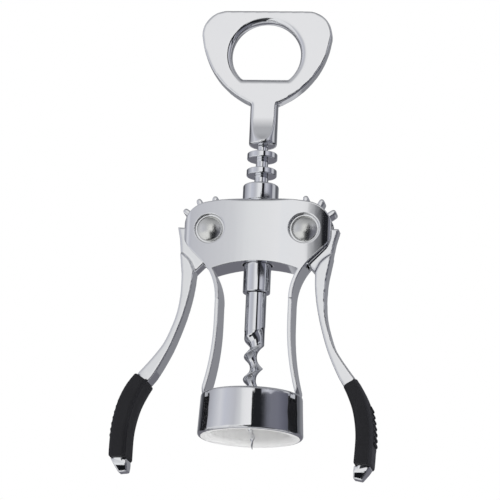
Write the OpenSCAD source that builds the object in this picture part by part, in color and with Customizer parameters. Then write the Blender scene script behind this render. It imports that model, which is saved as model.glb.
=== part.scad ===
// Wing corkscrew with a crown-cap opener as its handle.
// Origin at the centre of the bell's rim, spindle axis along Z, levers swing in the XZ plane.

/* [Bell] */
// Radius of the bell at its rim
bell_r = 20; // [18:0.1:24]
// Radius of the bell at its top edge
bell_top_r = 19.3; // [17.6:0.1:22]
// Height of the bell
bell_h = 16.1; // [12:0.1:24]
// Thickness of the bell's side wall
bell_wall = 1.9; // [1.4:0.1:2.6]
// Thickness of the bell's top
bell_roof = 2.2; // [1.6:0.1:3.5]
// Rounding of the bell's top and rim edges
bell_edge_r = 1.2; // [0.3:0.1:1.4]

/* [Frame head] */
// Distance of each lever pivot from the spindle axis
pivot_x = 18.25; // [17.8:0.05:19]
// Height of the lever pivots above the bell's rim
pivot_z = 80.3; // [76:0.1:100]
// Radius of the round lobe about each pivot
lobe_r = 10.7; // [10:0.1:11.5]
// Height of the head's crown above the pivots
crown_rise = 12; // [11.8:0.1:13]
// Half depth of the head on the spindle axis
head_half_d = 7.3; // [6.8:0.1:8.5]
// Radius of the bulge of the front and rear faces, seen from above
face_bulge_r = 200; // [120:5:300]
// Rounding of the head's top edges
head_edge_r = 2; // [0.6:0.1:2.4]
// Rounding of the head's side edges, seen from above
head_side_r = 4; // [1:0.1:4.4]
// Height of the window's top above the bell's rim
window_top_z = 67.3; // [64:0.1:68]
// Radius of the arch over the window
window_arch_r = 48; // [40:1:80]

/* [Frame arms] */
// Distance of the arms' outer faces from the spindle axis at the waist
waist_x = 14.8; // [13.5:0.1:16]
// Thickness of an arm
arm_t = 1.5; // [1.3:0.1:2.2]
// Depth of an arm from front to rear
arm_d = 13; // [10:0.1:14]
// Radius of the bend from the waist up to the head
arm_upper_r = 22; // [18:0.5:26]
// Slope of the head's lower flanks
flank_angle = 45; // [42:1:48]
// Height at which the arms start to widen downwards
waist_z = 44; // [40:1:50]

/* [Levers] */
// Distance from a lever's pivot down to its tip, measured along Z
lever_drop = 95.4; // [85:0.5:130]
// Thickness of the geared plate
plate_t = 6.4; // [5:0.1:6.6]
// Full thickness of the arm where it leaves the plate, in the plane of swing
lever_t = 5.2; // [4.4:0.1:6]
// Depth of the arm at the plate
lever_d_top = 9; // [8:0.1:11]
// Depth of the arm at the grip
lever_d_low = 9.2; // [8:0.1:12]
// How far the left lever stands open from the middle of the gear play
left_rest_angle = 1.9; // [-1.9:0.1:1.9]
// How far the right lever stands open from the middle of the gear play
right_rest_angle = -1.9; // [-1.9:0.1:1.9]
// Depth of the bare metal tip
tip_d = 8.4; // [6:0.1:11]

/* [Grips] */
// Full thickness of a grip in the plane of swing
grip_t = 6.8; // [6:0.1:9]
// Depth of a grip
grip_d = 15.4; // [13:0.1:20]
// Rounding of the grip's long edges
grip_edge_r = 2; // [1:0.1:2.8]
// Height of the raised pad on the grip's outer face
pad_rise = 0.5; // [0.3:0.1:1]
// Depth of the raised pad from front to rear
pad_d = 10; // [8:0.1:12]
// Rounding of the grip's ends
grip_end_r = 0.9; // [0.3:0.1:1.4]
// Radius of the nubs on the pad
nub_r = 0.6; // [0.4:0.05:0.8]
// Height of the nubs above the pad
nub_rise = 0.25; // [0.15:0.05:0.4]
// Distance between the columns of nubs
nub_step = 2.4; // [2:0.1:2.6]

/* [Gearing] */
// Distance between the rack's rings
ring_pitch = 6.6; // [6.4:0.05:6.8]
// Radius of the rings
ring_r = 5.85; // [5.7:0.05:5.9]
// Thickness of a ring
ring_t = 2.5; // [2:0.1:2.8]
// Rounding of a ring's edges
ring_edge_r = 0.35; // [0.2:0.05:1.1]
// Radius of the neck above the top ring
neck_top_r = 2.05; // [1.95:0.05:2.6]
// Radius of the thickest necks between the rings
neck_r = 2.7; // [2.6:0.1:3]
// Length of the neck above the top ring
neck_top_l = 2.9; // [2.4:0.1:4]
// Radius on which a lever's teeth roll along the rack
pitch_r = 13.2; // [13:0.05:13.4]
// Radius to the tips of a lever's teeth
tooth_tip_r = 13.9; // [13.5:0.05:14]
// Radius of the geared plate between its teeth
tooth_root_r = 9.9; // [9:0.1:10.5]
// Width of a tooth at its tip
tooth_w = 2.2; // [1.8:0.1:2.4]
// Number of teeth on a lever
tooth_count = 6; // [6:1:6]

/* [Pivots] */
// Radius of a pivot pin
pin_r = 2.5; // [2:0.1:3]
// Radius of the pin's domed head and of the rear cap
dome_r = 4.95; // [4.5:0.05:5.2]
// Height of a dome above its flat rim
dome_rise = 1.9; // [1.2:0.1:2.4]
// Height of a dome's flat rim
dome_rim_h = 0.6; // [0.4:0.1:1]
// Radius of the recess round a dome
recess_r = 5.8; // [5.3:0.1:6]
// Thickness of the head's plates under the domes
recess_floor_t = 1.6; // [1.2:0.1:2]

/* [Spindle] */
// Radius of the shank above the worm
shank_r = 3.95; // [3.6:0.05:4.3]
// Radius of the rack's plain thick end
plain_r = 5.25; // [5:0.05:5.85]
// Length of the rack's plain thick end
plain_l = 16.2; // [14:0.1:18]
// Rounding of the edges of the rack's plain end and of the stem's foot
spindle_edge_r = 0.8; // [0.3:0.1:1.1]
// Radius of the rod that joins worm and handle through the rack
rod_r = 1.4; // [1.3:0.05:1.5]
// Length of the rod inside the handle's stem
rod_grip_l = 8; // [6:0.5:12]
// Pitch of the worm
worm_pitch = 8.8; // [8:0.1:10]
// Radius of the worm's core
worm_core_r = 1.3; // [1:0.05:1.8]
// Height of the worm's upper end above the bell's rim
worm_top_z = 39.7; // [34:0.1:44]
// How far the worm's point stands out below the bell's rim
worm_out = 4.4; // [0:0.1:8]
// Sideways offset of the worm's point
worm_point_x = 1.2; // [0:0.1:2]

/* [Handle] */
// Height of the handle's top above its stem's lower end
handle_h = 55.1; // [50:0.1:70]
// Half width of the opener head
handle_half_w = 25.5; // [24:0.1:30]
// Thickness of the opener head
handle_t = 6; // [5:0.1:7]
// Radius of the cap opening
cap_hole_r = 13.5; // [13.4:0.1:15]
// Distance of the opening's straight lip from its centre
cap_lip = 10.1; // [9.5:0.1:12]
// Distance of the opening's centre below the handle's top
cap_hole_drop = 18; // [17:0.1:20]
// Rounding of the opening's edges
cap_round = 2; // [0.5:0.1:2.4]
// Radius of the head's upper corners
handle_corner_r = 9.8; // [8:0.1:11]
// Radius of the head's curved flanks
handle_flank_r = 33.5; // [33:0.1:36]
// Radius of the stem
stem_r = 5.45; // [5:0.05:6]
// How far the handle is turned from square to the frame
handle_turn = 3.6; // [-180:0.1:180]
// Height of the stem from its lower end to the head
stem_h = 17; // [16:0.1:24]
// Height of the full round foot at the stem's lower end
stem_foot_h = 1.1; // [1:0.1:3]
// Radius of the scoops that thin the stem to the head's thickness
scoop_r = 27; // [24:1:34]

/* [Collar and liner] */
// Outer radius of the guide collar
collar_r = 6.9; // [6.7:0.1:7.2]
// Height of the guide collar above the head
collar_h = 6.6; // [5:0.1:8]
// Radius of the collar's spigot in the head
spigot_r = 6.45; // [6.4:0.05:6.6]
// Depth of the spigot in the head
spigot_h = 2.7; // [2:0.1:2.8]
// Rounding of the collar's upper edge
collar_edge_r = 0.8; // [0.3:0.1:1.2]
// Thickness of the liner's wall round the bottle's mouth
liner_wall_t = 2.2; // [1.9:0.1:2.5]
// Thickness of the liner's flange in the bell's rim
liner_flange_t = 1; // [0.6:0.1:2]
// Width of the flange's flat face
liner_flange_w = 1.4; // [1:0.1:2]
// Height of the rounded entry to the liner's mouth
mouth_entry_h = 2.6; // [1:0.1:4]
// Radius of the liner's hole round the worm
liner_hole_r = 4.65; // [4.6:0.05:4.9]
// Thickness of the liner's floor
liner_floor_t = 2.4; // [1.5:0.1:3]

/* [Clearances] */
// Radial running clearance of the rings in their guides
guide_gap = 0.07; // [0.04:0.01:0.09]
// Radial running clearance of the levers on their pins and of the rod in the rack
run_gap = 0.05; // [0.03:0.01:0.08]
// Gap between parts that are pressed or moulded together
seat_gap = 0.03; // [0.02:0.01:0.05]
// Clearance between the geared plates and the sides of their slots
slot_side_gap = 0.25; // [0.2:0.05:0.4]
// Clearance between the tooth tips and their slots
slot_tip_gap = 0.4; // [0.3:0.1:0.5]
// End play of the rack between the handle and the shank
end_play = 0.2; // [0.1:0.05:0.3]
// Clearance of the bell's top round the liner's hole
mouth_clear = 0.5; // [0.2:0.1:1]
// Length by which the cuts run past a face
overrun = 1; // [0.5:0.1:2]

/* [Hidden] */
$fn = 72;
quarter = 90;
half_turn = 180;
turn = 360;
arc_steps = 10;

crown_z = pivot_z + crown_rise;
crown_r = (pow(pivot_x, 2) + pow(crown_rise, 2) - pow(lobe_r, 2)) / (2 * (crown_rise - lobe_r));
lobe_start = atan2(crown_r - crown_rise, pivot_x);
arm_bend_z = (sin(flank_angle) * (waist_x + arm_upper_r - pivot_x) - arm_upper_r - lobe_r
    + cos(flank_angle) * pivot_z) / cos(flank_angle);
arm_foot_z = bell_h - bell_roof;
arm_foot_share = 1.012;
arm_spread = arm_foot_share * bell_top_r - waist_x;
arm_lower_r = (pow(arm_spread, 2) + pow(waist_z - arm_foot_z, 2)) / (2 * arm_spread);
arm_foot_angle = asin((waist_z - arm_foot_z) / arm_lower_r);
guide_r = ring_r + guide_gap;
slot_half = plate_t / 2 + slot_side_gap;
slot_r = tooth_tip_r + slot_tip_gap;
recess_y = slot_half + recess_floor_t;
arm_flare_share = 0.2;
arm_reach = bell_top_r - 2 * arm_flare_share * bell_edge_r - arm_flare_share * bell_roof;
bell_bore_r = bell_top_r - bell_wall;
bell_bore_low_r = bell_r - bell_wall;
bell_hole_r = liner_hole_r + mouth_clear;
bell_rim_r = bell_r - bell_edge_r;
mouth_r = min(bell_bore_r, bell_bore_low_r) - seat_gap - liner_wall_t;

tooth_angle = ring_pitch / pitch_r * half_turn / PI;
tooth_first = -88.8;
gap_z = pivot_z;
ring_count = 6;
ring_top_z = gap_z + (ring_count - 1.5) * ring_pitch + ring_t / 2 + tooth_w / 4;
rack_top_z = ring_top_z + neck_top_l;
rack_plain_top_z = ring_top_z - ring_count * ring_pitch;
rack_low_z = rack_plain_top_z - plain_l;
stem_low_z = rack_top_z + end_play;
shank_top_z = rack_low_z - end_play;

step_out = [0.80 * tooth_tip_r, -0.66 * tooth_tip_r];
step_in = [0.367 * tooth_tip_r, -1.223 * tooth_tip_r];
step_mid = [0.521 * tooth_tip_r, -0.893 * tooth_tip_r];
arm_start = [0.583 * tooth_tip_r, -0.942 * tooth_tip_r];
arm_l = lever_drop + arm_start[1];
// Centre line of the arm: outward and downward shares of arm_l, then a share of lever_t
arm_line_shares = [[-0.007, 0.059, 0.44], [-0.007, 0.108, 0.39], [-0.001, 0.18, 0.32], [0.012, 0.253, 0.265],
    [0.033, 0.325, 0.26], [0.06, 0.398, 0.285], [0.096, 0.464, 0.38], [0.135, 0.525, 0.48],
    [0.162, 0.56, 0.5]];
// Centre line of the grip: outward and downward shares of arm_l, then a share of grip_t
grip_line_shares = [[0.162, 0.56, 0.44], [0.175, 0.581, 0.46], [0.193, 0.611, 0.49], [0.219, 0.671, 0.5],
    [0.236, 0.741, 0.5], [0.244, 0.809, 0.5], [0.2445, 0.881, 0.51], [0.243, 0.925, 0.52],
    [0.2428, 0.937, 0.5]];
tip_shares = [[0.265, 0.963], [0.241, 1], [0.2, 0.993]];
// Edges of the geared plate's shoulder and web, as shares of tooth_tip_r
plate_out_shares = [[0, 0.065], [0.935, 0.065], [0.85, -0.29]];
plate_in_shares = [[0.15, -0.985], [-0.14, -0.65]];
tooth_foot_share = 0.6;
grip_top_share = 0.44;
grip_shift_share = 0.02;
nub_row_share = 0.72;
nub_columns = 4;
core_d_share = 0.6;
core_t_share = 0.5;
core_end_share = 1.002;
tip_low_share = 0.3;
tip_out_share = 0.46;
tip_in_share = 0.49;
depth_from_share = 0.333;
depth_to_share = 0.588;

// Points on an arc about c, from angle a0 to a1
function arc(c, r, a0, a1, n = arc_steps) =
    [for (i = [0:n]) let (a = a0 + (a1 - a0) * i / n) c + r * [cos(a), sin(a)]];
function mirrored(p) = [for (i = [len(p) - 1:-1:0]) [-p[i][0], p[i][1]]];
// One point of a smooth curve through four neighbours
function curve_point(a, b, c, d, t) = 0.5 * (2 * b + (c - a) * t + (2 * a - 5 * b + 4 * c - d) * pow(t, 2)
    + (3 * b - a - 3 * c + d) * pow(t, 3));
// A smooth curve through points, with n steps between neighbours
function smooth(p, n) = [for (i = [0:len(p) - 2]) for (k = [0:n - 1])
    curve_point(p[max(i - 1, 0)], p[i], p[i + 1], p[min(i + 2, len(p) - 1)], k / n), p[len(p) - 1]];
// Direction of a curve at point i, as a unit vector
function along(p, i) = let (d = p[min(i + 1, len(p) - 1)] - p[max(i - 1, 0)], v = [d[0], d[1]]) v / norm(v);
// Points at a curve's side, at share s of its half thickness, from its start to point n
function side(p, s, n) = [for (i = [0:n]) let (v = along(p, i))
    [p[i][0] - s * p[i][2] * v[1], p[i][1] + s * p[i][2] * v[0]]];
// Rounded rectangle, half sizes a and b
function round_rect(a, b, r, n = 3) = let (q = min(r, a, b)) concat(
    arc([a - q, b - q], q, 0, quarter, n), arc([q - a, b - q], q, quarter, half_turn, n),
    arc([q - a, q - b], q, half_turn, half_turn + quarter, n),
    arc([a - q, q - b], q, half_turn + quarter, turn, n));
// Ring of points round point q of a curve in the XZ plane with direction v, for a section of half depth b
function ring_at(q, v, b, r) = [for (s = round_rect(q[2], b, r))
    [q[0] - s[0] * v[1], s[1], q[1] + s[0] * v[0]]];
function tube_rings(p, b, r) = [for (i = [0:len(p) - 1]) ring_at(p[i], along(p, i), b, r)];
function sized(p, size_t) = [for (q = p)
    [arm_start[0] + q[0] * arm_l, arm_start[1] - q[1] * arm_l, q[2] * size_t]];

arm_line = smooth(sized(arm_line_shares, lever_t), 4);
grip_line = smooth(sized(grip_line_shares, grip_t), 2);
lever_line = concat(arm_line, [for (i = [1:len(grip_line) - 1]) grip_line[i]]);
arm_end = len(arm_line) - 1;
lever_end = len(lever_line) - 1;
end_dir = along(lever_line, lever_end);
core_line = concat(
    [for (i = [arm_end - 3:lever_end]) let (q = lever_line[i]) [q[0], q[1], core_t_share * q[2]]],
    [concat(core_end_share * [lever_line[lever_end][0], lever_line[lever_end][1]] + seat_gap * end_dir,
    core_t_share * lever_line[lever_end][2])]);

// A closed skin over rings of points
module loft(rings) {
    n = len(rings[0]);
    m = len(rings);
    points = [for (r = rings) for (p = r) p];
    sides = [for (i = [0:m - 2]) for (j = [0:n - 1]) let (k = (j + 1) % n)
        each [[i * n + j, i * n + k, (i + 1) * n + k], [i * n + j, (i + 1) * n + k, (i + 1) * n + j]]];
    low = [for (j = [0:n - 1]) n - 1 - j];
    high = [for (j = [0:n - 1]) (m - 1) * n + j];
    polyhedron(points, concat(sides, [low, high]), convexity = 8);
}

// Extrudes an XZ outline evenly to both sides of the XZ plane
module slab(depth) {
    rotate([quarter, 0, 0]) linear_extrude(height = depth, center = true) children();
}

// A cylinder along Y
module cross_cylinder(r, l) {
    rotate([quarter, 0, 0]) cylinder(h = l, r = r, center = true);
}

module both_sides() {
    children();
    mirror([1, 0, 0]) children();
}

function outer_edge() = concat(
    arc([0, crown_z - crown_r], crown_r, quarter, lobe_start),
    arc([pivot_x, pivot_z], lobe_r, lobe_start, -flank_angle, 2 * arc_steps),
    arc([waist_x + arm_upper_r, arm_bend_z], arm_upper_r, quarter + flank_angle, half_turn),
    arc([waist_x + arm_lower_r, waist_z], arm_lower_r, half_turn, half_turn + arm_foot_angle));
function inner_edge() = concat(
    arc([waist_x + arm_upper_r, arm_bend_z], arm_upper_r + arm_t, quarter + flank_angle, half_turn),
    arc([waist_x + arm_lower_r, waist_z], arm_lower_r + arm_t, half_turn, half_turn + arm_foot_angle));

// Bulged faces and rounded side edges, seen from above
function face_y(x) = head_half_d - pow(x, 2) / (2 * face_bulge_r);
function plan_edge() = let (x1 = pivot_x + lobe_r - head_side_r) concat(
    [for (i = [0:arc_steps]) let (x = x1 * i / arc_steps) [x, face_y(x)]],
    arc([x1, face_y(x1) - head_side_r], head_side_r, quarter, 0, arc_steps / 2));

module head_envelope() {
    half = concat(mirrored(plan_edge()), plan_edge());
    both = concat(half, [for (i = [len(half) - 1:-1:0]) [half[i][0], -half[i][1]]]);
    e = head_edge_r;
    intersection() {
        translate([0, 0, arm_foot_z]) linear_extrude(height = crown_z) polygon(both);
        rotate([quarter, 0, quarter]) linear_extrude(height = 4 * lobe_r + 2 * pivot_x, center = true)
            polygon(concat([[head_half_d, 0], [head_half_d, crown_z - e]],
                arc([head_half_d - e, crown_z - e], e, 0, quarter, arc_steps / 2),
                arc([e - head_half_d, crown_z - e], e, quarter, half_turn, arc_steps / 2),
                [[-head_half_d, 0]]));
    }
}

module frame_outline(depth) {
    slab(depth) polygon(concat(outer_edge(), mirrored(outer_edge())));
}

module window() {
    intersection() {
        slab(4 * head_half_d) polygon(concat(inner_edge(), mirrored(inner_edge())));
        translate([0, 0, window_top_z - window_arch_r]) cross_cylinder(window_arch_r, 4 * head_half_d);
    }
}

module bell() {
    rotate_extrude() polygon(concat(
        arc([bell_r - bell_edge_r, bell_edge_r], bell_edge_r, -quarter, 0, 4),
        arc([bell_top_r - bell_edge_r, bell_h - bell_edge_r], bell_edge_r, 0, quarter, 4),
        [[bell_hole_r, bell_h], [bell_hole_r, bell_h - bell_roof], [bell_bore_r, bell_h - bell_roof],
        [bell_bore_low_r, liner_flange_t + seat_gap], [bell_rim_r, liner_flange_t + seat_gap]]));
}

// One die casting: head, arms and bell
module frame_casting() {
    color("gainsboro") difference() {
        union() {
            difference() {
                union() {
                    intersection() {
                        frame_outline(4 * head_half_d);
                        head_envelope();
                        translate([0, 0, crown_z])
                            cube([8 * pivot_x, 4 * head_half_d, 2 * (crown_z - arm_bend_z)], center = true);
                    }
                    intersection() {
                        frame_outline(arm_d);
                        translate([0, 0, arm_foot_z])
                            cylinder(h = pivot_z, r1 = arm_reach,
                                r2 = arm_reach + arm_flare_share * pivot_z);
                        cylinder(h = arm_bend_z, r = 2 * bell_r);
                    }
                }
                window();
                cylinder(h = arm_foot_z, r = 2 * bell_r);
            }
            bell();
        }
        translate([0, 0, waist_z]) cylinder(h = crown_z, r = guide_r);
        translate([0, 0, crown_z - spigot_h]) cylinder(h = spigot_h + overrun, r = spigot_r + seat_gap);
        both_sides() translate([pivot_x, 0, pivot_z]) {
            cross_cylinder(slot_r, 2 * slot_half);
            cross_cylinder(pin_r + seat_gap, 4 * head_half_d);
            for (s = [-1, 1]) translate([0, s * (recess_y + head_half_d), 0])
                cross_cylinder(recess_r, 2 * head_half_d);
        }
    }
}

// Sleeve pressed into the head, in which the rings slide
module guide_collar() {
    e = collar_edge_r;
    low = crown_z - spigot_h;
    top = crown_z + collar_h;
    color("silver") rotate_extrude() polygon(concat(
        [[guide_r, low], [spigot_r, low], [spigot_r, crown_z + seat_gap], [collar_r, crown_z + seat_gap]],
        arc([collar_r - e, top - e], e, 0, quarter, 4), [[guide_r, top]]));
}

// Plastic guide that centres the bottle's mouth and the worm
module bell_liner() {
    top = bell_h - bell_roof - seat_gap;
    rim = bell_rim_r - seat_gap;
    entry_r = bell_rim_r - liner_flange_w;
    color("whitesmoke") rotate_extrude() polygon(concat([[entry_r, 0], [rim, 0], [rim, liner_flange_t],
        [bell_bore_low_r - seat_gap, liner_flange_t], [bell_bore_r - seat_gap, top],
        [liner_hole_r, top], [liner_hole_r, top - liner_floor_t],
        [mouth_r - bell_edge_r, top - liner_floor_t], [mouth_r, top - liner_floor_t - bell_edge_r]],
        [for (a = arc([0, 0], 1, half_turn, half_turn + quarter, arc_steps / 2))
            [entry_r + a[0] * (entry_r - mouth_r), mouth_entry_h * (1 + a[1])]]));
}

// Outline of a domed disc, from its rim's foot at height 0 to its crown
function dome_edge() = let (r = (pow(dome_r, 2) + pow(dome_rise, 2)) / (2 * dome_rise), a = asin(dome_r / r))
    concat([[dome_r, 0]], arc([0, dome_rim_h + dome_rise - r], r, quarter - a, quarter, 8));

// Pivot pin with a domed front head; its plain end enters the rear cap
module pivot_pin(s) {
    color("darkgray") translate([s * pivot_x, -recess_y - seat_gap, pivot_z]) rotate([quarter, 0, 0])
        rotate_extrude() polygon(concat(
            [[0, -2 * recess_y - dome_rim_h], [pin_r, -2 * recess_y - dome_rim_h], [pin_r, 0]],
            dome_edge()));
}

module pivot_pin_left() { pivot_pin(-1); }

module pivot_pin_right() { pivot_pin(1); }

// Domed cap pressed on the pin's rear end
module rear_cap(s) {
    bore_r = pin_r + seat_gap;
    color("darkgray") translate([s * pivot_x, recess_y + seat_gap, pivot_z]) rotate([-quarter, 0, 0])
        rotate_extrude() polygon(concat(
            [[0, dome_rim_h + seat_gap], [bore_r, dome_rim_h + seat_gap], [bore_r, 0]],
            dome_edge()));
}

module rear_cap_left() { rear_cap(-1); }

module rear_cap_right() { rear_cap(1); }

// The rack's core thickens over the upper three necks
function neck_radius(i) = min(neck_r, neck_top_r + i * (neck_r - neck_top_r) / 2);

// Ringed sleeve that the levers drive, with a plain thick lower end
module rack_sleeve() {
    e = ring_edge_r;
    low_e = spindle_edge_r;
    bore_r = rod_r + run_gap;
    rings = [for (i = [0:ring_count - 1]) let (top = ring_top_z - i * ring_pitch) each concat(
        [[neck_radius(i), top]], arc([ring_r - e, top - e], e, quarter, 0, 4),
        arc([ring_r - e, top - ring_t + e], e, 0, -quarter, 4), [[neck_radius(i + 1), top - ring_t]])];
    color("silver") rotate_extrude() polygon(concat(
        [[bore_r, rack_low_z], [bore_r, rack_top_z], [neck_top_r, rack_top_z]], rings,
        [[neck_r, rack_plain_top_z]], arc([plain_r - low_e, rack_plain_top_z - low_e], low_e, quarter, 0, 4),
        arc([plain_r - low_e / 2, rack_low_z + low_e / 2], low_e / 2, 0, -quarter, 4)));
}

// Right half of the opener head's outline, from its top to the stem
function head_edge() = let (
    top = stem_low_z + handle_h, c = handle_corner_r,
    corner = [handle_half_w - c, top - c],
    flank = [handle_half_w - handle_flank_r, corner[1] + c / 4],
    a1 = atan2(corner[1] - flank[1], corner[0] - flank[0]),
    a2 = -asin((flank[1] - stem_low_z - stem_h) / handle_flank_r))
    concat(arc(corner, c, quarter, a1), arc(flank, handle_flank_r, a1 - 1, a2, 2 * arc_steps));

// Cross-section of the cap opening's wall, as [depth, inset], with rounded edges
function cap_wall() = let (half = handle_t / 2, e = cap_round, h = half - e) concat(
    [[-2 * half, -e], [-half, -e]], arc([-h, -e], e, half_turn, quarter, arc_steps / 2),
    arc([h, -e], e, quarter, 0, arc_steps / 2), [[half, -e], [2 * half, -e]]);

// Round opening with one straight lip
module cap_opening() {
    wall = cap_wall();
    intersection() {
        rotate([quarter, 0, 0]) rotate_extrude() polygon(concat([[0, -handle_t]],
            [for (p = wall) [cap_hole_r - p[1], p[0]]], [[0, handle_t]]));
        rotate([quarter, 0, quarter]) linear_extrude(height = 4 * cap_hole_r, center = true) polygon(concat(
            [[-handle_t, 2 * cap_hole_r]], [for (p = wall) [p[0], p[1] - cap_lip]],
            [[handle_t, 2 * cap_hole_r]]));
    }
}

// Crown-cap opener that serves as the handle, with a stem scooped from round to flat
module opener_handle() {
    e = spindle_edge_r;
    half = handle_t / 2;
    scoop_z = stem_low_z + stem_foot_h + sqrt(pow(scoop_r, 2) - pow(scoop_r - stem_r + half, 2));
    color("gainsboro") rotate([0, 0, handle_turn]) difference() {
        union() {
            intersection() {
                slab(handle_t) polygon(concat(head_edge(), mirrored(head_edge())));
                translate([0, 0, stem_low_z + stem_h + handle_h / 2])
                    cube([4 * handle_half_w, 2 * handle_t, handle_h], center = true);
            }
            difference() {
                rotate_extrude() polygon(concat([[0, stem_low_z]],
                    arc([stem_r - e, stem_low_z + e], e, -quarter, 0, 4),
                    [[stem_r, stem_low_z + stem_h + e], [0, stem_low_z + stem_h + e]]));
                for (s = [-1, 1]) {
                    translate([0, s * (half + scoop_r), scoop_z])
                        rotate([0, quarter, 0]) cylinder(h = 4 * stem_r, r = scoop_r, center = true);
                    translate([0, s * (half + stem_r), scoop_z + handle_h])
                        cube([4 * stem_r, 2 * stem_r, 2 * handle_h], center = true);
                }
            }
        }
        translate([0, 0, stem_low_z + handle_h - cap_hole_drop]) cap_opening();
        translate([0, 0, stem_low_z - overrun])
            cylinder(h = overrun + rod_grip_l + seat_gap, r = rod_r + seat_gap);
    }
}

// The worm's section is the same cam shape at every height, turned along a right-hand helix
worm_low_z = -worm_out;
taper_turns = 2.1;
flight_power = 2.4;
taper_z = taper_turns * worm_pitch;
taper_shares = [[0, 0.05], [0.06, 0.15], [0.16, 0.22], [0.24, 0.42], [0.4, 0.52], [0.54, 0.74], [0.7, 0.97],
    [0.8, 1], [1, 1]];
function worm_taper(z) = lookup((z - worm_low_z) / taper_z, taper_shares);
// Share of the cut's depth at height z and share w of a turn behind the crest; it runs out into the shank
function worm_open(z, w) = min(1, max(0, 2 * (worm_top_z - z) / worm_pitch + 2 * w - 1));
function worm_radius(z, w) = let (
    flight = pow(abs(2 * w - 1), flight_power),
    cut = (shank_r - worm_core_r) * (1 - flight) * worm_open(z, w))
    (shank_r - seat_gap - cut) * worm_taper(z);

// Steel worm with its shank and the rod that holds the handle
module worm() {
    sides = 24;
    steps = 84;
    top = worm_top_z + worm_pitch / 2;
    color("lightsteelblue") union() {
        loft([for (i = [0:steps]) let (z = worm_low_z + (top - worm_low_z) * i / steps,
            shift = worm_point_x * pow(max(0, 1 - worm_taper(z)), 2))
            [for (j = [0:sides - 1]) let (w = j / sides, r = worm_radius(z, w),
                a = half_turn + turn * (z - worm_top_z) / worm_pitch - turn * w)
                [shift + r * cos(a), r * sin(a), z]]]);
        translate([0, 0, top - overrun]) cylinder(h = shank_top_z - top + overrun, r = shank_r);
        translate([0, 0, shank_top_z - overrun])
            cylinder(h = stem_low_z + rod_grip_l - shank_top_z + overrun, r = rod_r);
    }
}

// Outline of one tooth of the geared plate, pointing up
module tooth() {
    h = tooth_tip_r - tooth_w / 2;
    foot = tooth_foot_share * tooth_w;
    polygon([[-foot, 0], [foot, 0], [tooth_w / 2, h], [-tooth_w / 2, h]]);
    translate([0, h]) circle(r = tooth_w / 2);
}

// Outline of the geared plate: toothed disc, shoulder and web
module gear_outline(shoulder) {
    difference() {
        union() {
            circle(r = tooth_root_r);
            for (i = [0:tooth_count - 1]) rotate(-tooth_first - i * tooth_angle) tooth();
            polygon(shoulder);
        }
        circle(r = pin_r + run_gap);
    }
}

// Flat bar inside the grip, larger all round by gap
module core(gap) {
    line = [for (q = core_line) [q[0], q[1], q[2] + gap]];
    n = len(line) - 1;
    in_side = side(line, -1, n);
    slab(core_d_share * grip_d + 2 * gap) polygon(concat(side(line, 1, n), [for (i = [n:-1:0]) in_side[i]]));
}

// Lever casting about its pivot at the origin, swinging outward to +X
module lever() {
    out_side = side(lever_line, 1, arm_end);
    in_side = side(lever_line, -1, arm_end);
    end = lever_line[lever_end];
    across = [-end_dir[1], end_dir[0]];
    from = -depth_from_share * lever_drop;
    to = -depth_to_share * lever_drop;
    tip_top = [end[0], end[1]] + seat_gap * end_dir;
    tip = concat([tip_top + tip_out_share * grip_t * across],
        [for (q = tip_shares) [arm_start[0] + q[0] * arm_l, arm_start[1] - q[1] * arm_l]],
        [tip_top - tip_in_share * grip_t * across]);
    color("gainsboro") union() {
        slab(plate_t) gear_outline(concat([for (q = plate_out_shares) q * tooth_tip_r],
            [step_out, out_side[0], in_side[0], step_in], [for (q = plate_in_shares) q * tooth_tip_r]));
        intersection() {
            slab(2 * lever_d_low) polygon(concat(smooth([step_in, step_mid, step_out], 4), out_side,
                [for (i = [arm_end:-1:0]) in_side[i]]));
            rotate([quarter, 0, quarter]) linear_extrude(height = 4 * lever_drop, center = true) polygon([
                [-lever_d_top / 2, 0], [-lever_d_top / 2, from], [-lever_d_low / 2, to],
                [-lever_d_low / 2, -lever_drop], [lever_d_low / 2, -lever_drop], [lever_d_low / 2, to],
                [lever_d_top / 2, from], [lever_d_top / 2, 0]]);
        }
        core(0);
        intersection() {
            slab(tip_d) polygon(tip);
            rotate([quarter, 0, quarter]) linear_extrude(height = 4 * lever_drop, center = true) polygon([
                [-tip_d / 2, 0], [-tip_d / 2, tip[1][1]], [-tip_low_share * tip_d, -lever_drop],
                [tip_low_share * tip_d, -lever_drop], [tip_d / 2, tip[1][1]], [tip_d / 2, 0]]);
        }
    }
}

// Point of the lever's centre line at a fractional index f
function line_point(f) = let (i = floor(f), t = f - i) lever_line[i] * (1 - t) + lever_line[i + 1] * t;

// Nubs in rows on the grip's pad, standing along the pad's outward direction
module grip_nubs(from, to) {
    rows = floor((to - from) / nub_row_share);
    for (i = [0:rows]) let (f = (from + to + (2 * i - rows) * nub_row_share) / 2, q = line_point(f),
        v = along(lever_line, round(f)), h = q[2] + pad_rise + nub_rise)
        for (k = [0:nub_columns - 1])
            translate([q[0], (k - (nub_columns - 1) / 2) * nub_step, q[1]])
                rotate([0, atan2(-v[1], v[0]), 0]) translate([0, 0, h - 2 * pad_rise - nub_rise])
                    cylinder(h = 2 * pad_rise + nub_rise, r = nub_r, $fn = 12);
}

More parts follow.
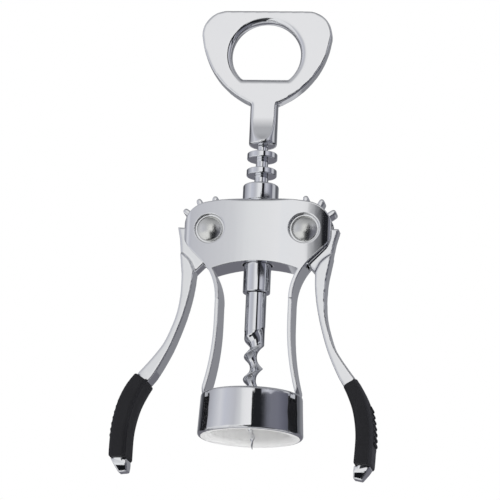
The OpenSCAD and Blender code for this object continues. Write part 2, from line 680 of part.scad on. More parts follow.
// Soft sleeve moulded round the lever's core, with rounded ends and a nubbed pad outside
module grip() {
    e = grip_end_r;
    pad_from = arm_end + 5;
    pad_to = lever_end - 4;
    pad_line = [for (i = [pad_from:pad_to]) let (v = along(lever_line, i), q = lever_line[i])
        [q[0] - (q[2] - grip_edge_r / 2) * v[1], q[1] + (q[2] - grip_edge_r / 2) * v[0],
        grip_edge_r / 2 + (i == pad_from || i == pad_to ? 0 : pad_rise)]];
    start = [lever_line[arm_end][0], lever_line[arm_end][1]];
    start_dir = along(lever_line, arm_end);
    shift = grip_shift_share * grip_t * [-start_dir[1], start_dir[0]];
    last = len(grip_line) - 1;
    color("#2b2b2d") difference() {
        union() {
            loft(concat(
                [for (k = [[0, e], [e / 3, e / 3]])
                    ring_at(concat(start + (seat_gap + k[0]) * start_dir + shift,
                        grip_top_share * grip_t - k[1]), start_dir, grip_d / 2 - k[1], grip_edge_r)],
                [for (i = [1:last]) let (q = grip_line[i], k = i == last ? e : i == last - 1 ? e / 3 : 0)
                    ring_at([q[0], q[1], q[2] - k], along(grip_line, i), grip_d / 2 - k, grip_edge_r)]));
            loft(tube_rings(pad_line, pad_d / 2, pad_rise));
            grip_nubs(pad_from + 1, pad_to - 1);
        }
        core(seat_gap);
    }
}

module at_right() {
    translate([pivot_x, 0, pivot_z]) rotate([0, -right_rest_angle, 0]) children();
}

module at_left() {
    mirror([1, 0, 0]) translate([pivot_x, 0, pivot_z]) rotate([0, -left_rest_angle, 0]) children();
}

module lever_left() { at_left() lever(); }

module lever_right() { at_right() lever(); }

module grip_left() { at_left() grip(); }

module grip_right() { at_right() grip(); }

frame_casting();
guide_collar();
bell_liner();
pivot_pin_left();
pivot_pin_right();
rear_cap_left();
rear_cap_right();
rack_sleeve();
opener_handle();
worm();
lever_left();
lever_right();
grip_left();
grip_right();
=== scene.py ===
"""Wing corkscrew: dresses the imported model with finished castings, worm, grips and materials.

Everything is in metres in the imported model's own frame: origin at the centre of the bell's rim, spindle along +Z,
front of the corkscrew towards -Y. Values whose names end in _MM are millimetres. Azimuths are in degrees from the
front (0) towards +X (90); elevations are in degrees above the horizon.
"""

import math

import bmesh
import bpy
from mathutils import Matrix, Vector


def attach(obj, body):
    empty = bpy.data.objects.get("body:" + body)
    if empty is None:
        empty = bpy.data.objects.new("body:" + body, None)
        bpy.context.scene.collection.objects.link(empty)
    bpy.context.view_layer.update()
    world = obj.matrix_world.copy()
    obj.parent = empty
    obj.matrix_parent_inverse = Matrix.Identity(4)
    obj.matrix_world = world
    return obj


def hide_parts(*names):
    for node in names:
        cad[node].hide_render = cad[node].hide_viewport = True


MM = 0.001
UP = Vector((0, 0, 1))

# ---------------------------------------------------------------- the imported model

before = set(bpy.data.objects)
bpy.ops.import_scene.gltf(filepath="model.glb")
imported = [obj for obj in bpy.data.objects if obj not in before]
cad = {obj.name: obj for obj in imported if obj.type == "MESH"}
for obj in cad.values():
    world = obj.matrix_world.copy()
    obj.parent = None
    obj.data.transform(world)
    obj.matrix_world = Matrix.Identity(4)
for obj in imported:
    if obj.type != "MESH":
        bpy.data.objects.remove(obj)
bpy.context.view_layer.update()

# ---------------------------------------------------------------- camera

CAMERA_AZIMUTH = math.radians(9.789)
CAMERA_BELOW = math.radians(15.405)
CAMERA_ROLL = math.radians(2.561)
CAMERA_DISTANCE = 0.95591
AIM_HEIGHT = 0.073178
AIM_LEFT = 0.003175
SENSOR_MM = 36
PHOTO_PX = 500
FOCAL_LENGTH_PX = 2493.784


def place_camera():
    """The photograph is taken from slightly below and to the right, through a long lens."""
    level = Vector((-math.sin(CAMERA_AZIMUTH), math.cos(CAMERA_AZIMUTH), 0))
    ahead = math.cos(CAMERA_BELOW) * level + math.sin(CAMERA_BELOW) * UP
    right = Vector((math.cos(CAMERA_AZIMUTH), math.sin(CAMERA_AZIMUTH), 0))
    above = right.cross(ahead)
    aim = AIM_HEIGHT * UP - AIM_LEFT * right
    turned_right = math.cos(CAMERA_ROLL) * right + math.sin(CAMERA_ROLL) * above
    turned_up = math.cos(CAMERA_ROLL) * above - math.sin(CAMERA_ROLL) * right
    data = bpy.data.cameras.new("camera")
    data.sensor_width = SENSOR_MM
    data.lens = FOCAL_LENGTH_PX * SENSOR_MM / PHOTO_PX
    camera = bpy.data.objects.new("camera", data)
    bpy.context.scene.collection.objects.link(camera)
    pose = Matrix((turned_right, turned_up, -ahead)).transposed().to_4x4()
    pose.translation = aim - CAMERA_DISTANCE * ahead
    camera.matrix_world = pose
    bpy.context.scene.camera = camera


place_camera()

# ---------------------------------------------------------------- tools of the bench

MERGE_MM = 0.004    # corners closer than this are one
SKIN_MM = 0.3       # mesh of the even skin that is polished
SAME = 1e-6         # metres within which two places are the same
FACING = 0.95       # least part of a normal along an axis for a face that looks that way


def deselect():
    bpy.ops.object.select_all(action="DESELECT")


def only(obj):
    deselect()
    obj.select_set(True)
    bpy.context.view_layer.objects.active = obj


def edit_all():
    """Opens the active object for editing with all of it selected."""
    bpy.ops.object.mode_set(mode="EDIT")
    bpy.ops.mesh.select_all(action="SELECT")


def close_edit():
    bpy.ops.object.mode_set(mode="OBJECT")


def pick(obj, kind, test):
    """In edit mode, selects the faces, edges or vertices that pass the test and nothing else."""
    mesh = bmesh.from_edit_mesh(obj.data)
    bpy.ops.mesh.select_mode(type=kind)
    bpy.ops.mesh.select_all(action="DESELECT")
    parts = {"FACE": mesh.faces, "EDGE": mesh.edges, "VERT": mesh.verts}[kind]
    for part in parts:
        if test(part):
            part.select_set(True)
    mesh.select_flush_mode()


def finish_modifier(obj, kind, name, **settings):
    """Adds one modifier with its settings and applies it."""
    only(obj)
    modifier = obj.modifiers.new(name, kind)
    for key, value in settings.items():
        setattr(modifier, key, value)
    bpy.ops.object.modifier_apply(modifier=name)


def copy_of(obj, shift=None):
    """A copy with a mesh of its own, moved in that mesh and not as an object."""
    twin = obj.copy()
    twin.data = obj.data.copy()
    bpy.context.scene.collection.objects.link(twin)
    if shift:
        twin.data.transform(Matrix.Translation(shift))
    return twin


def merged_copy(node, name):
    """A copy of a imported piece, with its loose triangles merged to one skin."""
    piece = copy_of(cad[node])
    piece.name = piece.data.name = name
    piece.parent = None
    for key in list(piece.keys()):
        del piece[key]
    piece.matrix_world = Matrix.Identity(4)
    only(piece)
    bpy.ops.mesh.customdata_custom_splitnormals_clear()
    edit_all()
    bpy.ops.mesh.remove_doubles(threshold=MERGE_MM * MM)
    close_edit()
    return piece


def smooth_by_angle(obj, limit):
    """Smooths what bends by less than the limit in degrees, and keeps the other edges."""
    only(obj)
    bpy.ops.object.shade_smooth_by_angle(angle=math.radians(limit))


def smooth_shading(obj, limit, weight):
    """Smooths the facets of a curved skin and keeps its real edges, with the large faces leading."""
    smooth_by_angle(obj, limit)
    finish_modifier(obj, "WEIGHTED_NORMAL", "shading", keep_sharp=True, weight=weight)


def polish_edges(obj, passes):
    """Gives a casting the slightly rounded edges of the polishing wheel: an even fine skin, then smoothed."""
    finish_modifier(obj, "REMESH", "even_skin", mode="VOXEL", voxel_size=SKIN_MM * MM, use_smooth_shade=True)
    finish_modifier(obj, "SMOOTH", "wheel", factor=0.5, iterations=passes)
    only(obj)
    bpy.ops.object.shade_smooth()


def finished(obj, body, slot, material, *nodes):
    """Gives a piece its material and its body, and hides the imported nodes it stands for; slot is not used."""
    obj.data.materials.clear()
    obj.data.materials.append(material)
    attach(obj, body)
    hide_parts(*nodes)


# ---------------------------------------------------------------- tools of the paint shop

MIX_FACTOR, MIX_FIRST, MIX_SECOND, MIX_RESULT = 0, 6, 7, 2    # sockets of a Mix node that mixes colours


def linear(hex_colour):
    """sRGB hex to the linear values that Blender works in."""
    values = [int(hex_colour[i:i + 2], 16) / 255 for i in (1, 3, 5)]
    return tuple(v / 12.92 if v <= 0.04045 else ((v + 0.055) / 1.055) ** 2.4 for v in values) + (1.0,)


def add_node(tree, kind, settings=None, inputs=None, **links):
    """One node with its settings, its socket values and its incoming links (socket name = output socket;
    a socket known by its number is written with an underscore before it)."""
    node = tree.nodes.new(kind)
    for key, value in (settings or {}).items():
        setattr(node, key, value)
    for key, value in (inputs or {}).items():
        node.inputs[key].default_value = value
    for key, source in links.items():
        tree.links.new(source, node.inputs[int(key[1:]) if key[1:].isdigit() else key.replace("_", " ")])
    return node


def new_material(name):
    material = bpy.data.materials.new(name)
    material.use_nodes = True
    return material, material.node_tree


def object_place(tree):
    return add_node(tree, "ShaderNodeTexCoord").outputs["Object"]


def clouds(tree, place, size_mm, detail):
    """Soft noise whose clouds are about size_mm across."""
    return add_node(tree, "ShaderNodeTexNoise", inputs={"Scale": 1 / (size_mm * MM), "Detail": detail},
                    Vector=place).outputs["Fac"]


def remap(tree, value, start, end, low=0.0, high=1.0):
    """Brings a value from the range start to end into the range low to high."""
    return add_node(tree, "ShaderNodeMapRange", inputs={"From Min": start, "From Max": end, "To Min": low,
                                                        "To Max": high}, Value=value).outputs["Result"]


def colour_mix(tree, share, first, second):
    """Mixes two colours, each of them a hex value or an output socket."""
    node = add_node(tree, "ShaderNodeMix", {"data_type": "RGBA"})
    tree.links.new(share, node.inputs[MIX_FACTOR])
    for socket, colour in ((MIX_FIRST, first), (MIX_SECOND, second)):
        if isinstance(colour, str):
            node.inputs[socket].default_value = linear(colour)
        else:
            tree.links.new(colour, node.inputs[socket])
    return node.outputs[MIX_RESULT]


def relief(tree, height, strength, depth_mm, **below):
    """Bumps of a given depth, on top of the normal that is passed as Normal."""
    return add_node(tree, "ShaderNodeBump", inputs={"Strength": strength, "Distance": depth_mm * MM},
                    Height=height, **below).outputs["Normal"]


def azimuth_share(tree, place):
    """Where a place stands round the spindle: 0 at azimuth -180, 0.5 at the front, 1 at 180."""
    axes = add_node(tree, "ShaderNodeSeparateXYZ", Vector=place)
    front = add_node(tree, "ShaderNodeMath", {"operation": "MULTIPLY"}, {1: -1.0}, _0=axes.outputs["Y"])
    angle = add_node(tree, "ShaderNodeMath", {"operation": "ARCTAN2"}, _0=axes.outputs["X"], _1=front.outputs[0])
    return remap(tree, angle.outputs[0], -math.pi, math.pi), axes


def azimuth_ramp(tree, share, stops):
    """A colour ramp round the spindle, from (azimuth, hex colour) pairs."""
    ramp = add_node(tree, "ShaderNodeValToRGB", Fac=share)
    elements = ramp.color_ramp.elements
    while len(elements) > 1:
        elements.remove(elements[-1])
    places = [((azimuth + 180) / 360, linear(colour)) for azimuth, colour in stops]
    elements[0].position, elements[0].color = places[0]
    for position, colour in places[1:]:
        elements.new(position).color = colour
    return ramp.outputs["Color"]


# ---------------------------------------------------------------- materials

FINGER_MARK_MM = 14               # size of the duller blooms on metal
HAIRLINE_MM = (0.25, 0.25, 6)     # width, width and length of a polishing mark


def polished_metal(name, colour, shade, roughness, spread, peel_mm=1.6, scratch=0.015, edge_mm=0.35):
    """Plated or polished metal: an almost even mirror with a faint orange peel, hairline polishing marks,
    a slightly duller bloom where fingers touch it, and edges that the polishing wheel has rounded off."""
    material, tree = new_material(name)
    shader = tree.nodes["Principled BSDF"]
    place = object_place(tree)
    bloom = clouds(tree, place, FINGER_MARK_MM, detail=3.0)
    tree.links.new(colour_mix(tree, bloom, colour, shade), shader.inputs["Base Color"])
    shader.inputs["Metallic"].default_value = 1.0
    dull = remap(tree, bloom, start=0.35, end=0.75, low=roughness, high=roughness + spread)
    tree.links.new(dull, shader.inputs["Roughness"])
    edge = add_node(tree, "ShaderNodeBevel", {"samples": 8}, {"Radius": edge_mm * MM})
    peel = relief(tree, clouds(tree, place, peel_mm, detail=1.0), strength=0.02, depth_mm=0.02,
                  Normal=edge.outputs["Normal"])
    stretched = add_node(tree, "ShaderNodeMapping", inputs={"Scale": [1 / (size * MM) for size in HAIRLINE_MM]},
                         Vector=place)
    hairs = add_node(tree, "ShaderNodeTexNoise", inputs={"Scale": 1.0, "Detail": 2.0},
                     Vector=stretched.outputs["Vector"])
    marks = relief(tree, hairs.outputs["Fac"], strength=scratch, depth_mm=0.01, Normal=peel)
    tree.links.new(marks, shader.inputs["Normal"])
    return material


def moulded_rubber(name):
    """Soft-touch black rubber: matte, with the fine spark-eroded grain of its mould and paler worn high spots."""
    material, tree = new_material(name)
    shader = tree.nodes["Principled BSDF"]
    place = object_place(tree)
    grain = clouds(tree, place, size_mm=0.35, detail=4.0)
    wear = clouds(tree, place, size_mm=9, detail=2.0)
    tree.links.new(colour_mix(tree, wear, "#1a1a1d", "#212125"), shader.inputs["Base Color"])
    shader.inputs["Specular IOR Level"].default_value = 0.28
    tree.links.new(remap(tree, grain, start=0, end=1, low=0.46, high=0.66), shader.inputs["Roughness"])
    tree.links.new(relief(tree, grain, strength=0.35, depth_mm=0.05), shader.inputs["Normal"])
    return material


def moulded_plastic(name):
    """Light grey injection-moulded plastic: even satin surface with a fine flow texture."""
    material, tree = new_material(name)
    shader = tree.nodes["Principled BSDF"]
    place = object_place(tree)
    flow = clouds(tree, place, size_mm=5, detail=3.0)
    grain = clouds(tree, place, size_mm=0.4, detail=2.0)
    tree.links.new(colour_mix(tree, flow, "#cfcece", "#d9d9d8"), shader.inputs["Base Color"])
    shader.inputs["Roughness"].default_value = 0.42
    tree.links.new(relief(tree, grain, strength=0.15, depth_mm=0.03), shader.inputs["Normal"])
    return material


chrome_casting = polished_metal("chrome_plated_zinc_casting", "#f2f2f3", "#eeeff1", roughness=0.035,
                                spread=0.03, edge_mm=0.8)
chrome_steel = polished_metal("chrome_plated_turned_steel", "#f0f1f3", "#e9eaee", roughness=0.04,
                              spread=0.03, peel_mm=1.0)
worm_chrome = polished_metal("chrome_plated_cut_worm", "#f0f1f3", "#e6e7ea", roughness=0.04,
                             spread=0.04, peel_mm=0.8, scratch=0.04, edge_mm=0.2)
nickel_rivet = polished_metal("satin_nickel_rivet", "#efefec", "#e6e6e2", roughness=0.22,
                              spread=0.05, peel_mm=0.6, scratch=0.05)
black_rubber = moulded_rubber("soft_touch_black_rubber")
grey_plastic = moulded_plastic("light_grey_moulded_plastic")

# ---------------------------------------------------------------- castings

HANDLE_PASSES = 16
LEVER_PASSES = 9

frame_piece = merged_copy("frame_casting", "frame_polished")
smooth_shading(frame_piece, limit=14, weight=80)
finished(frame_piece, "frame", "casting_chrome", chrome_casting, "frame_casting")

handle_piece = merged_copy("opener_handle", "handle_polished")
polish_edges(handle_piece, HANDLE_PASSES)
finished(handle_piece, "spindle", "casting_chrome", chrome_casting, "opener_handle")

for side in ("left", "right"):
    lever_piece = merged_copy("lever_" + side, f"lever_{side}_polished")
    polish_edges(lever_piece, LEVER_PASSES)
    finished(lever_piece, side + "_lever", "casting_chrome", chrome_casting, "lever_" + side)

# ---------------------------------------------------------------- worm

QUAD_BEND = math.radians(60)      # two triangles that bend by less are joined to one face
FLIGHT_TOP_MM = 43.5              # above this the shank is plain
# The run-out of the flight's groove on the shank: heights it lies between, where it ends in x, how far it is
# moved down, and how far round it the surface gives way.
RUN_OUT_MM = {"from": 37.5, "to": FLIGHT_TOP_MM + 0.6, "end": 1, "drop": 2.2, "reach": 5}


def cut_worm():
    """The worm's flight, with the facets of its cam section smoothed; the plain shank above stays as packed."""
    shank = merged_copy("worm", "worm_shank")
    edit_all()
    bpy.ops.mesh.tris_convert_to_quads(face_threshold=QUAD_BEND, shape_threshold=QUAD_BEND)
    pick(shank, "VERT", lambda vert: RUN_OUT_MM["from"] < vert.co.z / MM < RUN_OUT_MM["to"]
         and vert.co.x < RUN_OUT_MM["end"] * MM)
    bpy.ops.transform.translate(value=(0, 0, -RUN_OUT_MM["drop"] * MM), use_proportional_edit=True,
                                proportional_edit_falloff="SMOOTH", proportional_size=RUN_OUT_MM["reach"] * MM)
    pick(shank, "FACE", lambda face: face.calc_center_median().z < FLIGHT_TOP_MM * MM)
    bpy.ops.mesh.separate(type="SELECTED")
    close_edit()
    flight = next(o for o in bpy.context.selected_objects if o != shank)
    flight.name = flight.data.name = "worm_flight"
    finish_modifier(flight, "SUBSURF", "smooth", levels=2, render_levels=2)
    smooth_by_angle(flight, limit=60)
    smooth_by_angle(shank, limit=30)
    return shank, flight


for piece in cut_worm():
    finished(piece, "spindle", "worm_steel", worm_chrome, "worm")

# ---------------------------------------------------------------- grips

# Centre line of a grip in its lever's own frame, pivot at the origin: outward, upward and half thickness.
GRIP_LINE_MM = [(21.44, -59.19, 2.95), (23.99, -63.38, 3.3), (26.13, -68.32, 3.4),
                (27.53, -74.08, 3.4), (28.19, -79.68, 3.4), (28.23, -85.6, 3.45), (28.09, -90.21, 3.45)]
STATIONS_PER_POINT = 3
GRIP_DEPTH_MM = 15.4
GRIP_HALF_MM = 3.4                # half thickness under the pad
BEVEL_MM = {"long edges": 1.9, "ends": 0.9, "pad": 0.22}
# The pad by its distance along the grip, the margin round it, its rise, and how far past its edge a corner
# still counts as the pad's.
PAD_MM = {"from": 8.6, "to": 26.4, "margin": 2.7, "rise": 0.28, "reach": 0.2}
# A nub's radius, rise over the pad and body, the distances between rows and columns, and the bare ends.
NUB_MM = {"radius": 0.6, "rise": 0.34, "body": 0.6, "pitch": 2.1, "column": 2.4, "bare": 3.2}
NUB_CROWN_MM = ((0.14, 0.1), (0.2, 0.06))    # inward and upward, in two steps
NUB_COLUMNS = 4
PIVOT_MM = (18.25, 80.3)          # a lever's pin, outward and upward
# How far each lever stands from the middle of its play when at rest.
REST_TURN = {"left": math.radians(1.9), "right": math.radians(-1.9)}


def between(points, t):
    """A point of the smooth curve through the points, at t segments from its start."""
    i = min(int(t), len(points) - 2)
    a, b = points[max(i - 1, 0)], points[i]
    c, d = points[i + 1], points[min(i + 2, len(points) - 1)]
    u = t - i
    return tuple(0.5 * (2 * q + (r - p) * u + (2 * p - 5 * q + 4 * r - w) * u ** 2
                        + (3 * q - p - 3 * r + w) * u ** 3)
                 for p, q, r, w in zip(a, b, c, d))


def grip_stations():
    """The grip's stations and how far along the grip each of them lies."""
    steps = STATIONS_PER_POINT * (len(GRIP_LINE_MM) - 1)
    stations = [between(GRIP_LINE_MM, k / STATIONS_PER_POINT) for k in range(steps + 1)]
    down = [0.0]
    for a, b in zip(stations, stations[1:]):
        down.append(down[-1] + math.hypot(b[0] - a[0], b[1] - a[1]))
    return stations, down


def at_long_edge(edge):
    """Is this one of the straight grip's four long edges?"""
    side = GRIP_DEPTH_MM / 2 * MM
    first, second = (vert.co for vert in edge.verts)
    return (all(abs(abs(co.y) - side) < SAME for co in (first, second))
            and abs(first.z - second.z) > 10 * SAME and first.y * second.y > 0)


def at_end(edge):
    """Does this edge run round one of the straight grip's two ends?"""
    return len(edge.link_faces) == 2 and sum(abs(face.normal.z) > FACING for face in edge.link_faces) == 1


def at_pad(edge):
    """Does this edge run round the raised pad on the outer face, where it stands up steeply?"""
    inside = (GRIP_DEPTH_MM / 2 - PAD_MM["margin"] + PAD_MM["reach"]) * MM
    steep = 0.9
    return (len(edge.link_faces) == 2 and sum(face.normal.x > FACING for face in edge.link_faces) == 1
            and all(abs(vert.co.y) < inside for vert in edge.verts) and edge.calc_face_angle(0) > steep)


def straight_grip(stations, down):
    """The grip straightened out along -Z: a bar extruded station by station, with its raised pad on +X."""
    deselect()
    bpy.ops.mesh.primitive_cube_add(size=1, location=(0, 0, -down[1] * MM / 2),
                                    scale=(2 * stations[0][2] * MM, GRIP_DEPTH_MM * MM, down[1] * MM))
    grip = bpy.context.active_object
    bpy.ops.object.transform_apply(location=True, rotation=True, scale=True)
    bpy.ops.object.mode_set(mode="EDIT")
    for k in range(1, len(stations) - 1):
        pick(grip, "FACE", lambda face: face.normal.z < -FACING)
        bpy.ops.mesh.extrude_region_move(TRANSFORM_OT_translate={"value": (0, 0, (down[k] - down[k + 1]) * MM)})
        bpy.ops.transform.resize(value=(stations[k + 1][2] / stations[k][2], 1, 1),
                                 center_override=(0, 0, -down[k + 1] * MM))
    pick(grip, "FACE", lambda face: face.normal.x > FACING
         and PAD_MM["from"] < -face.calc_center_median().z / MM < PAD_MM["to"])
    bpy.ops.mesh.inset(thickness=PAD_MM["margin"] * MM, depth=0)
    bpy.ops.mesh.extrude_region_shrink_fatten(TRANSFORM_OT_shrink_fatten={"value": PAD_MM["rise"] * MM})
    for name, test, segments in (("long edges", at_long_edge, 5), ("ends", at_end, 3), ("pad", at_pad, 2)):
        pick(grip, "EDGE", test)
        bpy.ops.mesh.bevel(offset=BEVEL_MM[name] * MM, segments=segments, affect="EDGES")
    close_edit()
    return grip


def nub(place):
    """One soft round nub of the pad, its crown narrowed in two steps."""
    deselect()
    bpy.ops.mesh.primitive_cylinder_add(vertices=16, radius=NUB_MM["radius"] * MM, depth=NUB_MM["body"] * MM,
                                        rotation=(0, math.pi / 2, 0), location=place)
    obj = bpy.context.active_object
    bpy.ops.object.transform_apply(location=True, rotation=True, scale=True)
    bpy.ops.object.mode_set(mode="EDIT")
    pick(obj, "FACE", lambda face: face.normal.x > FACING)
    for inward, upward in NUB_CROWN_MM:
        bpy.ops.mesh.inset(thickness=inward * MM, depth=upward * MM)
    close_edit()
    return obj


def nub_places():
    """The middles of the nubs' bodies on the straight grip, row by row."""
    crown = sum(upward for _, upward in NUB_CROWN_MM)
    out = GRIP_HALF_MM + PAD_MM["rise"] + NUB_MM["rise"] - crown - NUB_MM["body"] / 2
    middle = (PAD_MM["from"] + PAD_MM["to"]) / 2
    rows = int((PAD_MM["to"] - PAD_MM["from"] - NUB_MM["bare"]) / NUB_MM["pitch"]) + 1
    return [Vector((out * MM, (column - (NUB_COLUMNS - 1) / 2) * NUB_MM["column"] * MM,
                    -(middle + (row - (rows - 1) / 2) * NUB_MM["pitch"]) * MM))
            for row in range(rows) for column in range(NUB_COLUMNS)]


def curved_grip():
    """The straight grip with its nubs, turned into its curve one station after the other."""
    stations, down = grip_stations()
    grip = straight_grip(stations, down)
    places = nub_places()
    first = nub(places[0])
    nubs = [first] + [copy_of(first, place - places[0]) for place in places[1:]]
    deselect()
    for obj in nubs + [grip]:
        obj.select_set(True)
    bpy.context.view_layer.objects.active = grip
    bpy.ops.object.join()
    ways = [math.atan2(b[0] - a[0], a[1] - b[1]) for a, b in zip(stations, stations[1:])]
    bpy.ops.object.mode_set(mode="EDIT")
    for k in range(len(stations) - 1, -1, -1):
        before = ways[k - 1] if k else 0.0
        turn = ways[min(k, len(ways) - 1)] - before
        if abs(turn) < 10 * SAME:
            continue
        limit = -down[k] * MM
        pick(grip, "VERT", lambda vert: k == 0 or vert.co.z < limit - SAME)
        bpy.ops.transform.rotate(value=turn, orient_axis="Y", orient_type="GLOBAL",
                                 center_override=(0, 0, limit))
    bpy.ops.mesh.select_all(action="SELECT")
    bpy.ops.transform.translate(value=(stations[0][0] * MM, 0, stations[0][1] * MM))
    close_edit()
    return grip


def fit_grips():
    """Turns a grip as its lever stands at rest and sets it on the lever; the left one is mirrored."""
    right = curved_grip()
    for side, obj in (("right", right), ("left", copy_of(right))):
        obj.name = obj.data.name = f"grip_{side}_moulded"
        only(obj)
        edit_all()
        bpy.ops.transform.rotate(value=REST_TURN[side], orient_axis="Y", orient_type="GLOBAL",
                                 center_override=(0, 0, 0))
        bpy.ops.transform.translate(value=(PIVOT_MM[0] * MM, 0, PIVOT_MM[1] * MM))
        if side == "left":
            bpy.ops.transform.resize(value=(-1, 1, 1), center_override=(0, 0, 0))
        bpy.ops.mesh.normals_make_consistent(inside=False)
        close_edit()
        smooth_shading(obj, limit=32, weight=60)
        finished(obj, side + "_lever", "grip_rubber", black_rubber, "grip_" + side)


fit_grips()

# ---------------------------------------------------------------- pieces that stay as packed

for node, material in (("guide_collar", chrome_steel), ("rack_sleeve", chrome_steel),
                       ("bell_liner", grey_plastic), ("pivot_pin_left", nickel_rivet),
                       ("pivot_pin_right", nickel_rivet), ("rear_cap_left", nickel_rivet),
                       ("rear_cap_right", nickel_rivet)):
    cad[node].data.materials.clear()
    cad[node].data.materials.append(material)

# ---------------------------------------------------------------- studio

# What stands round the corkscrew, by azimuth: at eye level, below and above.
TENT_EYE = [(-180, "#8a8b90"), (-150, "#86878c"), (-141, "#4c4d52"), (-120, "#4c4d52"), (-112, "#96979d"),
            (-100, "#a0a1a8"), (-84, "#b4b6bd"), (-64, "#cccdd2"), (-52, "#bec0c9"), (-28, "#b7b8be"),
            (-16, "#c9cacd"), (-11, "#dadbdc"), (-4, "#e2e2e3"), (14.8, "#e8e8e9"), (16, "#1c1d20"),
            (30, "#1f2024"), (32.5, "#a6a7af"), (44, "#c4c5cc"), (52, "#b9bac2"), (60, "#a3a4ad"),
            (70, "#888993"), (80, "#6c6d77"), (86, "#6e6f78"), (91, "#b0b1b6"), (108, "#c2c3c7"),
            (116, "#8c8d92"), (125, "#606166"), (140, "#55565b"), (155, "#7e7f84"), (180, "#8a8b90")]
TENT_LOW = [(-180, "#bcbdc1"), (-100, "#c8c9cc"), (-40, "#dcdddf"), (-8, "#e2e3e4"), (-5, "#3a3b3e"),
            (98, "#3a3b3e"), (104, "#a8a9ad"), (180, "#bcbdc1")]
TENT_HIGH = [(-180, "#a2a3a7"), (-90, "#b2b3b8"), (0, "#a9aaad"), (90, "#95969b"), (180, "#a2a3a7")]
TENT_ZENITH = "#5c5d60"
# The elevations between which one level of the tent passes into the next.
LOW_TO_EYE = (-9.5, -6.5)
EYE_TO_HIGH = (24, 42)
HIGH_TO_ZENITH = (52, 84)
TENT_GLOW = 1.12                  # strength of the tent's walls and of the cards before them


def light_tent():
    """White to the camera, plain soft light on what is matte, and the tent's walls in what is polished."""
    world = bpy.data.worlds.new("light_tent")
    bpy.context.scene.world = world
    world.use_nodes = True
    tree = world.node_tree
    tree.nodes.clear()
    ray = add_node(tree, "ShaderNodeLightPath").outputs
    share, axes = azimuth_share(tree, add_node(tree, "ShaderNodeTexCoord").outputs["Generated"])
    rise = add_node(tree, "ShaderNodeMath", {"operation": "ARCSINE"}, _0=axes.outputs["Z"])

    def passing(band):
        return remap(tree, rise.outputs[0], math.radians(band[0]), math.radians(band[1]))

    shade = colour_mix(tree, passing(LOW_TO_EYE), azimuth_ramp(tree, share, TENT_LOW),
                       azimuth_ramp(tree, share, TENT_EYE))
    shade = colour_mix(tree, passing(EYE_TO_HIGH), shade, azimuth_ramp(tree, share, TENT_HIGH))
    shade = colour_mix(tree, passing(HIGH_TO_ZENITH), shade, TENT_ZENITH)
    soft = add_node(tree, "ShaderNodeBackground", inputs={"Color": linear("#f4f5f7"), "Strength": 0.72})
    seen = add_node(tree, "ShaderNodeBackground", inputs={"Color": (1, 1, 1, 1), "Strength": 1.0})
    walls = add_node(tree, "ShaderNodeBackground", inputs={"Strength": TENT_GLOW}, Color=shade)
    lit = add_node(tree, "ShaderNodeMixShader", _0=ray["Is Glossy Ray"], _1=soft.outputs[0],
                   _2=walls.outputs[0])
    through = add_node(tree, "ShaderNodeMath", {"operation": "MAXIMUM"}, _0=ray["Is Camera Ray"],
                       _1=ray["Is Transmission Ray"])
    shown = add_node(tree, "ShaderNodeMixShader", _0=through.outputs[0], _1=lit.outputs[0],
                     _2=seen.outputs[0])
    add_node(tree, "ShaderNodeOutputWorld", _0=shown.outputs[0])


light_tent()

CARD_RADIUS = 0.3
BLACK_CARD = "#1c1d20"


def only_in_reflections(obj):
    """Keeps a card out of the picture and its shade off the corkscrew, so that only polished metal shows it."""
    obj.visible_camera = False
    obj.visible_diffuse = False
    obj.visible_shadow = False
    obj.visible_transmission = False


def card_material(name, stops):
    """A matte card that glows evenly, its shade set by azimuth."""
    material, tree = new_material(name)
    tree.nodes.clear()
    share, _ = azimuth_share(tree, object_place(tree))
    glow = add_node(tree, "ShaderNodeEmission", inputs={"Strength": TENT_GLOW},
                    Color=azimuth_ramp(tree, share, stops))
    add_node(tree, "ShaderNodeOutputMaterial", _0=glow.outputs[0])
    return material


def bent_card(name, start, end, bottom, top, stops):
    """A card bent round the corkscrew from one azimuth to another, between two heights."""
    deselect()
    bpy.ops.mesh.primitive_cylinder_add(vertices=360, radius=CARD_RADIUS, depth=top - bottom,
                                        end_fill_type="NOTHING", location=(0, 0, (top + bottom) / 2))
    card = bpy.context.active_object
    card.name = name
    bpy.ops.object.transform_apply(location=True, rotation=True, scale=True)

    def outside(face):
        middle = face.calc_center_median()
        return not start < math.degrees(math.atan2(middle.x, -middle.y)) < end

    bpy.ops.object.mode_set(mode="EDIT")
    pick(card, "FACE", outside)
    bpy.ops.mesh.delete(type="FACE")
    close_edit()
    card.data.materials.append(card_material(name + "_paint", stops))
    only_in_reflections(card)


bent_card("low_flag_right", start=9.6, end=130.4, bottom=-0.3, top=0.11,
          stops=[(9, BLACK_CARD), (30, "#1f2024"), (36, "#3a3b40"), (44, "#62636c"), (52, "#6e6f79"),
                 (68, "#6e6f7a"), (84, "#60616d"), (97, "#54555f"), (98.5, "#9a9ba2"), (103, "#9a9ba2"),
                 (105, "#17181b"), (131, "#17181b")])
bent_card("low_flag_left", start=-127, end=-113, bottom=-0.3, top=0.11,
          stops=[(-130, BLACK_CARD), (-110, BLACK_CARD)])
bent_card("low_flag_front", start=-50, end=9.4, bottom=-0.5, top=-0.262,
          stops=[(-180, "#141518"), (180, "#141518")])
bent_card("flag_beside_head", start=-2, end=75, bottom=0.14, top=0.182,
          stops=[(-2, "#dfe0e2"), (6, "#e0e0e1"), (8.5, "#8c8d90"), (13, BLACK_CARD), (60, "#1f2024"),
                 (75, "#77787c")])

REAR_CARD_PLACE = (0, 0.5, -0.231)
REAR_CARD_SIZE = (1.4, 0.438, 1)
FLOOR_SIZE = 6
FLOOR_HEIGHT = -0.22


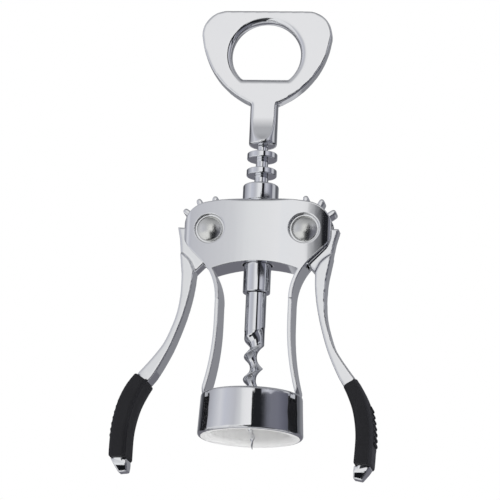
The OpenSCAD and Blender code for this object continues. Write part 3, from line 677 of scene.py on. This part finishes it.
def rear_card():
    """A grey card low behind the corkscrew, which the head's underside reflects."""
    deselect()
    bpy.ops.mesh.primitive_plane_add(size=1, location=REAR_CARD_PLACE, rotation=(math.pi / 2, 0, 0))
    card = bpy.context.active_object
    card.name = "low_card_behind"
    card.scale = REAR_CARD_SIZE
    bpy.ops.object.transform_apply(location=True, rotation=True, scale=True)
    card.data.materials.append(card_material("grey_card_paint", [(-180, "#6c6c73"), (180, "#6c6c73")]))
    only_in_reflections(card)


rear_card()


def studio_floor():
    """Matte white paper under the corkscrew, kept out of the metal's reflections."""
    deselect()
    bpy.ops.mesh.primitive_plane_add(size=FLOOR_SIZE, location=(0, 0, FLOOR_HEIGHT))
    floor = bpy.context.active_object
    floor.name = "pale_floor"
    material, tree = new_material("matte_white_floor")
    shader = tree.nodes["Principled BSDF"]
    paper = clouds(tree, object_place(tree), size_mm=400, detail=2.0)
    tree.links.new(colour_mix(tree, paper, "#f5f5f4", "#f8f8f8"), shader.inputs["Base Color"])
    shader.inputs["Roughness"].default_value = 0.9
    shader.inputs["Specular IOR Level"].default_value = 0.1
    floor.data.materials.append(material)
    floor.visible_glossy = False


studio_floor()

LAMP_DISTANCE = 1.2
LAMP_AIM = Vector((0, 0, 0.08))


def soft_lamp(name, azimuth, elevation, size, power):
    """A square soft box that looks at the middle of the corkscrew."""
    a, e = math.radians(azimuth), math.radians(elevation)
    away = Vector((math.sin(a) * math.cos(e), -math.cos(a) * math.cos(e), math.sin(e)))
    data = bpy.data.lights.new(name, "AREA")
    data.shape = "SQUARE"
    data.size = size
    data.energy = power
    lamp = bpy.data.objects.new(name, data)
    bpy.context.scene.collection.objects.link(lamp)
    lamp.location = LAMP_AIM + LAMP_DISTANCE * away
    lamp.rotation_mode = "QUATERNION"
    lamp.rotation_quaternion = away.to_track_quat("Z", "Y")
    lamp.visible_glossy = False


soft_lamp("key_softbox", azimuth=-35, elevation=35, size=0.7, power=3.5)
soft_lamp("fill_softbox", azimuth=95, elevation=18, size=0.5, power=24)

bpy.context.scene.view_settings.view_transform = "Standard"
